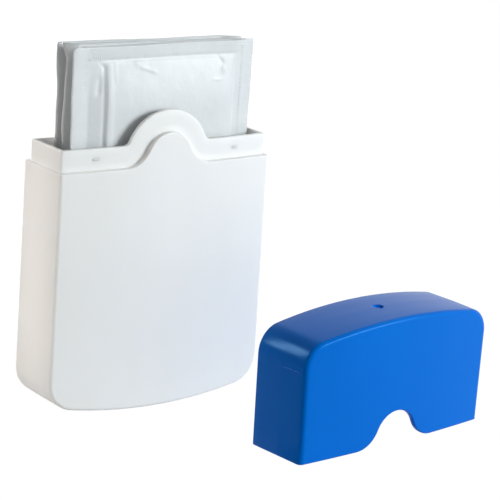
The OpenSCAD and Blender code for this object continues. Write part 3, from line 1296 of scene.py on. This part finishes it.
@dataclass
class Sachet:
    """A sealed sachet: two films, ribbed borders and the folded wipe between them.

    A film bulges by the belly's depth over the wipe. Beside the wipe's left edge it stands
    at ramp_share of that depth, steps up within step_w, and dips by dip_share beyond it.
    At the end seals it starts at end_share and reaches the full depth within end_run. Its
    points lie fine apart above fine_from, where it shows, and coarse apart below.

    The ribs run rib_inset from the side edges and rib_reach either way along the ends. The
    wipe keeps wipe_room from the ends, and its folds lie panel_reach from its middle.
    """

    name: str
    y: float
    warp: Warp
    creases: tuple[Crease, ...]
    seed: int
    fine: float = 0.9
    width: float = 68.4
    bottom: float = 6.212
    height: float = 113.388
    left_seal: float = 5.5
    right_seal: float = 7.0
    end_seal: float = 4.4
    film_t: float = 0.12
    belly: float = 1.9
    ramp_share: float = 0.6
    dip_share: float = 0.09
    end_share: float = 0.12
    end_run: float = 17.0
    wipe_left: float = -22.7
    wipe_right: float = 20.0
    step_w: float = 1.25
    fine_from: float = 84.0
    coarse: float = 0.9
    hidden_count: int = 26
    rib_inset: float = 2.75
    rib_reach: float = 28.5
    wipe_room: float = 9.2
    panel_reach: float = 19.4
    layers: int = 6
    layer_pitch: float = 0.56
    cloth_t: float = 0.4

    @property
    def top(self) -> float:
        """Height of the top edge."""
        return self.bottom + self.height

    def side_profile(self, x: np.ndarray) -> np.ndarray:
        """Shapes the belly across the sachet's width.

        It rises from the left seal to the wipe's edge, steps up over it, and falls to the
        right seal.

        Args:
            x: Places across the width.

        Returns:
            The share of the belly's depth at each place.
        """
        left, right = -self.width / 2 + self.left_seal, self.width / 2 - self.right_seal
        ramp = np.clip((x - left) / (self.wipe_left - left), 0.0, 1.0)
        ramp = self.ramp_share * ramp * smooth(3 * ramp)
        step = smooth((x - self.wipe_left) / self.step_w)
        inward = (x - self.wipe_left - self.step_w) / 6.0
        dip = self.dip_share * smooth(2.4 * inward) * (1 - smooth(inward - 0.4))
        fall = np.clip((right - x) / (right - self.wipe_right), 0.0, 1.0)
        fall = np.sqrt(np.clip(1 - (1 - fall) ** 2, 0.0, 1.0)) * smooth(4 * fall)
        return (ramp * (1 - step) + step - dip) * fall

    def end_profile(self, z: np.ndarray) -> np.ndarray:
        """Shapes the belly up the sachet's height.

        Args:
            z: Heights.

        Returns:
            The share of the belly's depth at each height.
        """
        rooms = (z - self.bottom - self.end_seal, self.top - self.end_seal - z)
        shares = [smooth(room) * (self.end_share + (1 - self.end_share)
                                  * np.sin(math.pi / 2 * np.clip(room / self.end_run, 0, 1)))
                  for room in rooms]
        return shares[0] * shares[1]

    def depth(self, x: np.ndarray, z: np.ndarray, front: bool) -> np.ndarray:
        """How far a film stands off the sachet's middle plane.

        Args:
            x: Places across the width.
            z: Heights.
            front: True for the front film.

        Returns:
            The distance at each place.
        """
        shape = self.side_profile(x if front else -x) * self.end_profile(z)
        swell = np.sin(x / 9.0 + self.seed) * np.sin(z / 13.0 + 2.0 * self.seed)
        folds = sum(c.relief(x, z) for c in (self.creases if front else self.hidden_creases()))
        pouch = smooth(shape * 6.0)
        return np.clip(self.belly * shape + pouch * (folds + 0.05 * swell), 0.004,
                       self.belly + 0.22)

    def hidden_creases(self) -> list[Crease]:
        """Draws the creases of a film that isn't seen, from the sachet's own seed.

        Returns:
            Short creases that run in from the belly's edges.
        """
        rng = np.random.default_rng(self.seed)
        made = []
        for _ in range(self.hidden_count):
            edge = rng.integers(0, 4)
            x = rng.uniform(-24, 24) if edge < 2 else (24 if edge == 2 else -24)
            z = rng.uniform(14, 112) if edge >= 2 else (13 if edge == 0 else 113)
            turn = rng.normal(0, 0.5) + math.atan2(62 - z, -x)
            length = rng.uniform(2.5, 8.0)
            made.append(Crease((x, z), (x + length * math.cos(turn), z + length * math.sin(turn)),
                               rng.uniform(0.35, 0.8), rng.choice([-0.22, 0.16, 0.2])))
        return made

    def warped(self, points: np.ndarray) -> np.ndarray:
        """Puts points of the flat sachet where they lie in the case.

        Args:
            points: Points round the sachet's middle plane, y = 0.

        Returns:
            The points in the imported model's frame, still in millimetres.
        """
        x, y, z = points[..., 0], points[..., 1], points[..., 2]
        w = self.warp
        up = smooth((z - self.bottom) / w.grow_h)
        rim = smooth((np.abs(x) - w.border_x) / w.border_w)
        crown = smooth((z - self.top + w.border_w) / w.border_w)
        ripple = np.sin(z / 5.3 + w.phase) + 0.5 * np.sin(z / 2.3 + 2.1 * w.phase)
        bend = np.sin(z / 12.0 + 1.7 * w.phase) * np.sign(x)
        share = x / self.width + 0.5
        shift = w.shift[0] * (1 - share) + w.shift[1] * share
        moved_x = x + (shift + w.wave * rim * np.sign(x) * ripple) * up
        moved_z = z + w.rise * x * up + 0.08 * crown * np.sin(x / 6.5 + w.phase) \
            + w.tip * crown * np.exp(-((x - w.tip_x) / w.tip_w) ** 2)
        lean = np.where(x < 0, w.lean[0], w.lean[1])
        fold = np.clip((w.fold_x - x) / w.fold_w + (z - self.top) / w.fold_w, 0.0, 1.0)
        moved_y = y + self.y + w.fold * fold**1.5 + up * (
            (w.curl * bend + lean) * rim + 0.25 * crown * np.sin(x / 10.0 + w.phase))
        return stack(moved_x, moved_y, moved_z)

    def rounded(self, x: np.ndarray, z: np.ndarray) -> tuple[np.ndarray, np.ndarray]:
        """Draws the rectangle's corners in to round ones.

        Args:
            x: Places across the width.
            z: Heights.

        Returns:
            The moved places and heights.
        """
        middle = self.bottom + self.height / 2
        r = np.where((x < 0) & (z > middle), *self.warp.corner)
        a = np.clip((np.abs(x) - self.width / 2) / r + 1, 0, 1)
        b = np.clip((np.abs(z - middle) - self.height / 2) / r + 1, 0, 1)
        return (x - np.sign(x) * r * a * (1 - np.sqrt(1 - b * b / 2)),
                z - np.sign(z - middle) * r * b * (1 - np.sqrt(1 - a * a / 2)))

    def film(self, front: bool, palette: Palette) -> bpy.types.Object:
        """Builds one film as a thin closed sheet.

        Args:
            front: True for the front film.
            palette: The finishes.

        Returns:
            The film.
        """
        side = "front" if front else "back"
        across = np.linspace(-self.width / 2, self.width / 2, round(self.width / self.fine) + 1)
        low = np.arange(self.bottom, self.fine_from, max(self.fine, self.coarse))
        up = np.linspace(self.fine_from, self.top,
                         round((self.top - self.fine_from) / self.fine) + 1)
        x, z = np.meshgrid(across, np.concatenate([low, up]))
        depth = self.depth(x, z, front)
        x, z = self.rounded(x, z)
        sign = -1.0 if front else 1.0
        shell = Shell()
        shell.slab([self.warped(stack(x, sign * (depth + t), z)) for t in (self.film_t, 0.0)])
        piece = shell.build(f"{self.name}_{side}_film_skin")
        palette.dress(piece, palette.face_film if front else palette.back_film)
        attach(piece, self.name)
        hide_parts(f"{self.name}_{side}_film")
        return piece

    def ribs(self, palette: Palette) -> bpy.types.Object:
        """Builds the ribs embossed across the sealed borders of both films.

        Args:
            palette: The finishes.

        Returns:
            The ribs.
        """
        low, high, film = self.bottom, self.top, palette.of(palette.face_film)
        side_x, end_x, end_z = self.width / 2 - self.rib_inset, self.rib_reach, self.end_seal / 2
        runs: list[tuple[SealRibs, list[tuple[float, float, float, float]]]] = [
            (SealRibs(0.16, 4.9), [(-side_x, low + 3, -side_x, high - 3.4)]),
            (SealRibs(0.18, 5.0), [(side_x, low + 3, side_x, high - 2)]),
            (SealRibs(0.175, 3.9), [(-end_x, z, end_x, z) for z in (low + end_z, high - end_z)]),
            (SealRibs(0.155, 57.0, 0.85, 60), [(0, high - 0.5, 0, high - self.end_seal + 0.3)]),
            (SealRibs(0.15, 106.0, 0.95, 90), [(-side_x - 2.1, 63, -side_x + 2.2, 63)]),
        ]
        work = bmesh.new()
        for ribs, lines in runs:
            part = ribs.run(self.name, [(np.array([a, 0, b]), np.array([c, 0, d]))
                                        for a, b, c, d in lines], film)
            work.from_mesh(part)
            bpy.data.meshes.remove(part)
        made = bpy.data.meshes.new(f"{self.name}_seal_ribs")
        work.to_mesh(made)
        work.free()
        points = np.empty(len(made.vertices) * 3)
        made.vertices.foreach_get("co", points)
        made.vertices.foreach_set("co", (self.warped(points.reshape(-1, 3)) * MM).ravel())
        made.update()
        made.shade_smooth()
        piece = stand(made.name, made)
        palette.dress(piece, palette.face_film)
        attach(piece, self.name)
        return piece

    def wipe(self, palette: Palette) -> bpy.types.Object:
        """Builds the wipe, folded to and fro on itself.

        Args:
            palette: The finishes.

        Returns:
            The wipe.
        """
        reach, fold_r = self.panel_reach, self.layer_pitch / 2
        line: list[tuple[float, float]] = []
        for layer in range(self.layers):
            y = (layer - (self.layers - 1) / 2) * self.layer_pitch
            way = 1 if layer % 2 == 0 else -1
            line += [(way * x, y) for x in np.linspace(-reach, reach, 24)]
            if layer < self.layers - 1:
                line += [(way * (reach + fold_r * math.sin(t)), y + fold_r * (1 - math.cos(t)))
                         for t in np.linspace(0, math.pi, 8)[1:-1]]
        middle = np.array(line)
        way = np.gradient(middle, axis=0)
        across = np.stack([-way[:, 1], way[:, 0]], -1)
        across /= np.linalg.norm(across, axis=1, keepdims=True)
        heights = np.linspace(self.bottom + self.wipe_room, self.top - self.wipe_room, 40)
        sides = []
        for sign in (1, -1):
            edge = middle + sign * self.cloth_t / 2 * across
            x = edge[None, :, 0] + 0.1 * np.sin(heights[:, None] / 4 + edge[None, :, 1] * 3)
            pressed = self.end_profile(heights)[:, None] * edge[None, :, 1]
            sides.append(self.warped(stack(x, pressed, heights[:, None])))
        shell = Shell()
        shell.slab(sides)
        piece = shell.build(f"{self.name}_folded_wipe")
        palette.dress(piece, palette.cloth)
        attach(piece, self.name)
        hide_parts(f"{self.name}_wipe")
        return piece

    def build(self, palette: Palette) -> list[bpy.types.Object]:
        """Builds and dresses the sachet.

        Args:
            palette: The finishes.

        Returns:
            Its pieces.
        """
        return [self.film(True, palette), self.film(False, palette), self.ribs(palette),
                self.wipe(palette)]


FRONT_CREASES = (
    Crease((-24.6, 115.0), (-22.8, 113.0), 0.45, -0.25),
    Crease((-24.4, 108.6), (-24.7, 105.6), 0.9, -0.3),
    Crease((-19.0, 114.8), (-18.7, 109.0), 0.5, 0.12),
    Crease((-12.2, 116.0), (-11.0, 113.8), 0.8, 0.14),
    Crease((-9.0, 112.5), (-4.4, 110.9), 0.5, 0.16),
    Crease((19.0, 115.3), (21.5, 112.4), 0.5, -0.3),
    Crease((21.6, 111.3), (21.6, 110.2), 0.6, 0.22),
    Crease((17.7, 107.3), (20.3, 107.1), 0.35, 0.1),
    Crease((-20.5, 113.0), (-20.1, 89.0), 0.7, 0.1),
    Crease((-22.9, 112.5), (-22.7, 88.0), 0.5, -0.18),
)


# ---------- studio ----------


@dataclass(frozen=True)
class PhotoCamera:
    """Camera at the photograph's angle, in millimetres, degrees and picture widths."""

    target: tuple[float, float, float] = (17.882, -33.978, 57.191)
    distance: float = 688.7
    azimuth: float = -36.617
    elevation: float = 15.492
    roll: float = 3.926
    lens: float = 155.014
    sensor: float = 36.0

    def build(self) -> None:
        """Builds the camera and makes it the scene's own."""
        a, e, r = (math.radians(v) for v in (self.azimuth, self.elevation, self.roll))
        back = Vector((math.sin(a) * math.cos(e), -math.cos(a) * math.cos(e), math.sin(e)))
        right = Vector((math.cos(a), math.sin(a), 0.0))
        up = back.cross(right)
        axes = (right * math.cos(r) + up * math.sin(r), up * math.cos(r) - right * math.sin(r),
                back)
        data = bpy.data.cameras.new("photo_camera")
        data.lens, data.sensor_width = self.lens, self.sensor
        data.clip_start, data.clip_end = 0.01, 50.0
        camera = stand("photo_camera", data)
        eye = Vector(self.target) + back * self.distance
        camera.matrix_world = Matrix.Translation(eye * MM) @ Matrix(axes).transposed().to_4x4()
        bpy.context.scene.camera = camera


@dataclass(frozen=True)
class Lamp:
    """A soft box that faces a point of the object.

    Attributes:
        name: Its name.
        at: Where it stands.
        aim: The point that it faces.
        size: Its width and height.
        level: How bright it makes a white surface at that point.
        colour: Its colour.
        spread: Opening angle of its light, in degrees.
        only_glints: True if it shows in reflections alone.
        passes: Name of a piece that throws no shadow in its light.
    """

    name: str
    at: tuple[float, float, float]
    aim: tuple[float, float, float]
    size: tuple[float, float]
    level: float
    colour: Colour = (1.0, 1.0, 1.0)
    spread: float = 180.0
    only_glints: bool = False
    passes: str = ""

    def let_pass(self, lamp: bpy.types.Object) -> None:
        """Lets the light through the one piece that would shade the others.

        Args:
            lamp: The lamp's object.
        """
        spared = bpy.data.collections.new(self.name + "_passes")
        spared.objects.link(bpy.data.objects[self.passes])
        lamp.light_linking.blocker_collection = spared
        spared.collection_objects[0].light_linking.link_state = "EXCLUDE"

    def build(self) -> None:
        """Builds the lamp at the power that gives its level where it aims."""
        data = bpy.data.lights.new(self.name, "AREA")
        data.shape = "RECTANGLE"
        data.size, data.size_y = (s * MM for s in self.size)
        way = (Vector(self.aim) - Vector(self.at)) * MM
        data.energy = self.level * math.pi**2 * way.length_squared
        data.color = self.colour
        data.spread = math.radians(self.spread)
        lamp = stand(self.name, data)
        lamp.matrix_world = Matrix.Translation(Vector(self.at) * MM) \
            @ way.to_track_quat("-Z", "Y").to_matrix().to_4x4()
        lamp.visible_camera = False
        lamp.visible_diffuse = not self.only_glints
        if self.passes:
            self.let_pass(lamp)


@dataclass
class Studio:
    """Pale floor, white background and soft light. The floor's sizes are in metres."""

    floor: StudioFloor = StudioFloor("studio_floor", (0.6, 0.6, 0.6), 1.2, 0.8)
    floor_reach: float = 20.0
    floor_z: float = -0.00005
    floor_lines: int = 9
    ambient: float = 0.24
    lamps: tuple[Lamp, ...] = (
        Lamp("key", (505, -650, 285), (0, -10, 66), (360, 260), 0.9, (0.93, 0.985, 1.0),
             passes="cap_moulding"),
        Lamp("left_side", (-900, -140, 60), (-20, -10, 50), (300, 200), 0.1, (1.0, 0.92, 0.83)),
        Lamp("back_fill", (120, 900, 170), (0, 0, 60), (500, 300), 0.4, (1.0, 0.96, 0.9)),
        Lamp("side_strip", (-105, 3, 51), (-40, 3, 49), (18, 108), 0.176, (1.0, 0.925, 0.865),
             spread=64.0),
        Lamp("corner_glint", (-440, 512, 440), (12, -60, 40), (440, 360), 1.6,
             only_glints=True),
    )

    def world(self) -> None:
        """Makes the world: white behind the object, and a softer level of light on it."""
        world = bpy.data.worlds.new("studio")
        bpy.context.scene.world = world
        world.use_nodes = True
        nodes, links = world.node_tree.nodes, world.node_tree.links
        nodes.clear()
        shown, lit = nodes.new("ShaderNodeBackground"), nodes.new("ShaderNodeBackground")
        shown.inputs["Strength"].default_value = 1.0
        lit.inputs["Strength"].default_value = self.ambient
        for part in (shown, lit):
            part.inputs["Color"].default_value = (1.0, 1.0, 1.0, 1.0)
        mix, output = nodes.new("ShaderNodeMixShader"), nodes.new("ShaderNodeOutputWorld")
        links.new(seen_ray(nodes, links), mix.inputs[0])
        links.new(lit.outputs[0], mix.inputs[1])
        links.new(shown.outputs[0], mix.inputs[2])
        links.new(mix.outputs[0], output.inputs["Surface"])

    def build(self) -> None:
        """Builds the floor, the world and the lamps."""
        self.world()
        mesh = bpy.data.meshes.new("studio_floor")
        steps = np.linspace(-self.floor_reach, self.floor_reach, self.floor_lines)
        x, y = np.meshgrid(steps, steps)
        points = stack(x, y, self.floor_z).reshape(-1, 3)
        ids = np.arange(x.size).reshape(x.shape)
        quads = np.stack([ids[:-1, :-1], ids[:-1, 1:], ids[1:, 1:], ids[1:, :-1]], -1)
        mesh.from_pydata(points.tolist(), [], quads.reshape(-1, 4).tolist())
        mesh.materials.append(self.floor.make())
        stand("studio_floor", mesh)
        for lamp in self.lamps:
            lamp.build()
        bpy.context.scene.view_settings.view_transform = "Standard"


def main() -> None:
    """Builds every part in order and reports each piece."""
    logging.basicConfig(level=logging.INFO, format="%(name)s: %(message)s")
    palette = Palette()
    PhotoCamera().build()
    parts: list[Body | Cap | Sachet] = [
        Body(),
        Cap(),
        Sachet("front_sachet", -4.7,
               Warp(shift=(0.5, 1.8), rise=-0.006, wave=0.09, curl=0.15, lean=(-0.7, 1.5),
                    phase=0.4, corner=(2.3, 0.4), fold=0.5, tip=0.45),
               FRONT_CREASES, 3, fine=0.46),
        Sachet("middle_sachet", 0.0,
               Warp(rise=-0.019, lean=(0.0, -1.2), phase=2.3, fold=3.2), (), 11),
        Sachet("rear_sachet", 4.7, Warp(rise=-0.014, lean=(0.0, -2.2), phase=4.4), (), 23),
    ]
    for part in parts:
        for piece in part.build(palette):
            log.info("%s: %d faces", piece.name, len(piece.data.polygons))
    Studio().build()


if __name__ == "__main__":
    main()
